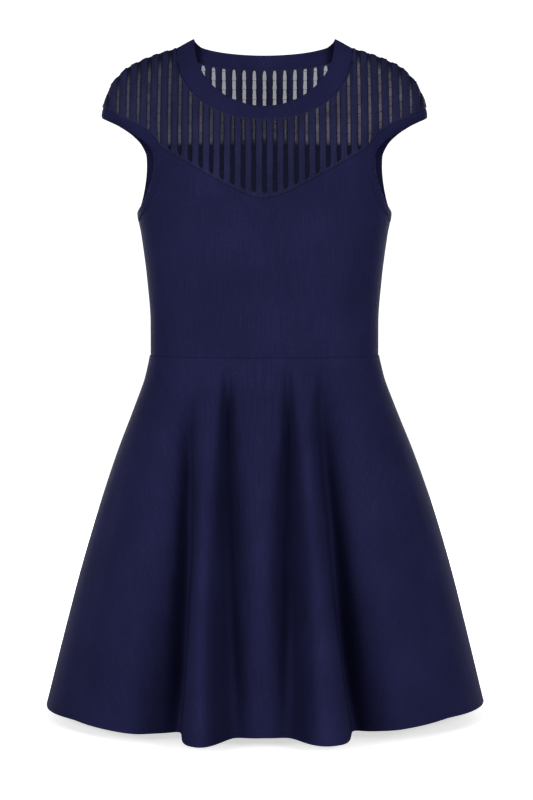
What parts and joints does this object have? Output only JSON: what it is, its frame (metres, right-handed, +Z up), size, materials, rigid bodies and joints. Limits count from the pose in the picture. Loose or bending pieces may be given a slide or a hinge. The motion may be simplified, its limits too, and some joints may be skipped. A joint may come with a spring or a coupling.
{
  "type": "a-line knit dress",
  "caption": "Knit dress with small cap sleeves, a V-shaped striped yoke, a fitted bodice and a flared, folded skirt, filled out as if worn.",
  "frame": {"origin": "where a wearer's shoulders hold the dress up: on the centre plane, level with the middle of the shoulder seams", "axes": "+Z up along the wearer, -Y towards the wearer's front, +X towards the wearer's left"},
  "size_m": [0.5499, 0.4832, 0.8203],
  "materials": {
    "navy_knit": "fine-gauge smooth jersey knit with a soft sheen",
    "band_knit": "fine 1x1 rib knit, folded double",
    "ribbed_net": "raised opaque knit ribs between see-through net stripes"
  },
  "bodies": {
    "root": {"yoke_front": "ribbed_net", "yoke_back": "ribbed_net", "bodice_front": "navy_knit", "bodice_back": "navy_knit", "skirt_front": "navy_knit", "skirt_back": "navy_knit", "neck_band": "band_knit", "armhole_band_left": "band_knit", "armhole_band_right": "band_knit"}
  },
  "joints": []
}
